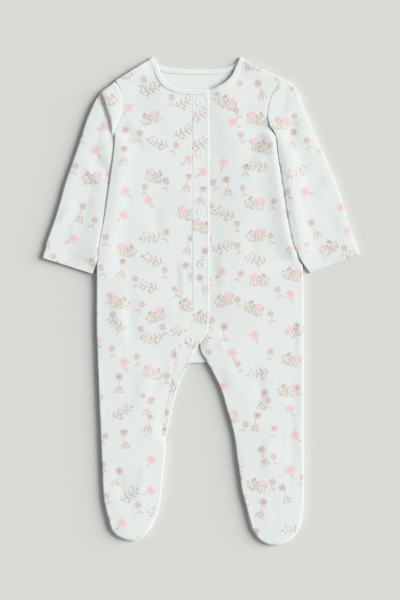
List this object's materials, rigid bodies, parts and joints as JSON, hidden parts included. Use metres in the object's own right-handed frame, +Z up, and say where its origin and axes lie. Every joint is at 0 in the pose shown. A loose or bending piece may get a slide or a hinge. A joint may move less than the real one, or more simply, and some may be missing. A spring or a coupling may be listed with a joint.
{
  "type": "footed baby sleepsuit",
  "caption": "Long-sleeved footed baby sleepsuit of printed cotton knit, laid flat with its snap front closed.",
  "frame": {"origin": "on the surface the garment lies on, under the middle of its outline", "axes": "+X to the wearer's left, +Y to the neck, +Z up from the surface, out of the garment's front"},
  "size_m": [0.3796, 0.5845, 0.0066],
  "materials": {
    "printed_knit": "matt cotton interlock, white with a small print",
    "band_knit": "matt fine rib and interlock, warm white",
    "snap_plastic": "semi-gloss enamelled ring, white"
  },
  "bodies": {
    "root": {"back": "printed_knit", "front_right": "printed_knit", "front_left": "printed_knit", "sleeve_right": "printed_knit", "sleeve_left": "printed_knit", "sole_right": "printed_knit", "sole_left": "printed_knit", "band_over": "band_knit", "band_under": "band_knit", "neckband": "band_knit", "snap_cap_1": "snap_plastic", "snap_cap_2": "snap_plastic", "snap_cap_3": "snap_plastic", "snap_cap_4": "snap_plastic", "snap_cap_5": "snap_plastic", "snap_socket_1": "snap_plastic", "snap_socket_2": "snap_plastic", "snap_socket_3": "snap_plastic", "snap_socket_4": "snap_plastic", "snap_socket_5": "snap_plastic"}
  },
  "joints": []
}
